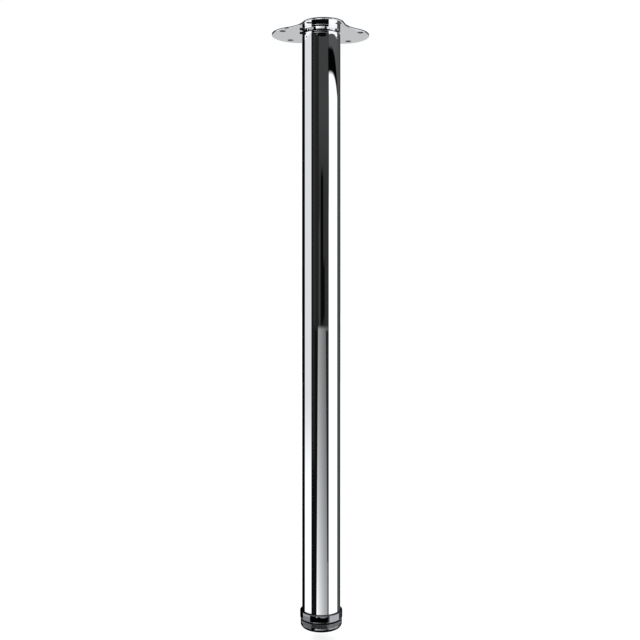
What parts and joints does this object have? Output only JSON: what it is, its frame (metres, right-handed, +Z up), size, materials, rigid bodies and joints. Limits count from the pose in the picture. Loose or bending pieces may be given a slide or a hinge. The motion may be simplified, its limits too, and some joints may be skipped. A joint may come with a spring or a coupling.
{
  "type": "table leg",
  "caption": "Tall round chrome table leg with a three-lobed fixing plate on top and a screw-adjusted levelling foot.",
  "frame": {"origin": "centre of the floor pad's underside, on the leg's axis, with the foot screwed fully in", "axes": "+Z up along the leg's axis, -Y towards the narrow lobe of the fixing plate, +X to its right"},
  "size_m": [0.1536, 0.1374, 0.93],
  "materials": {
    "chrome": "mirror chrome plate",
    "dark_chrome": "dark chrome plate",
    "zinc": "plain zinc-plated steel",
    "black_steel": "black oxide",
    "plug_plastic": "moulded black plastic",
    "pad_plastic": "hard black plastic glide"
  },
  "bodies": {
    "leg": {"mounting_plate": "chrome", "plate_spigot": "zinc", "top_adaptor": "chrome", "set_screw": "black_steel", "leg_tube": "chrome", "foot_collar": "dark_chrome", "base_plug": "plug_plastic", "thread_nut": "zinc"},
    "pad": {"floor_pad": "pad_plastic"},
    "foot": {"foot_cup": "dark_chrome", "foot_stud": "zinc"}
  },
  "joints": [
    {"name": "foot_height", "type": "slide", "parent": "leg", "child": "pad", "axis": [0, 0, -1], "range_m": [0, 0.02]},
    {"name": "foot_turn", "type": "hinge", "parent": "pad", "child": "foot", "pos_m": [0, 0, 0.01], "axis": [0, 0, -1], "range_deg": [0, 4805]}
  ],
  "couplings": [
    {"joint": "foot_turn", "follows": "foot_height", "rad_per_m": 4188.8}
  ]
}
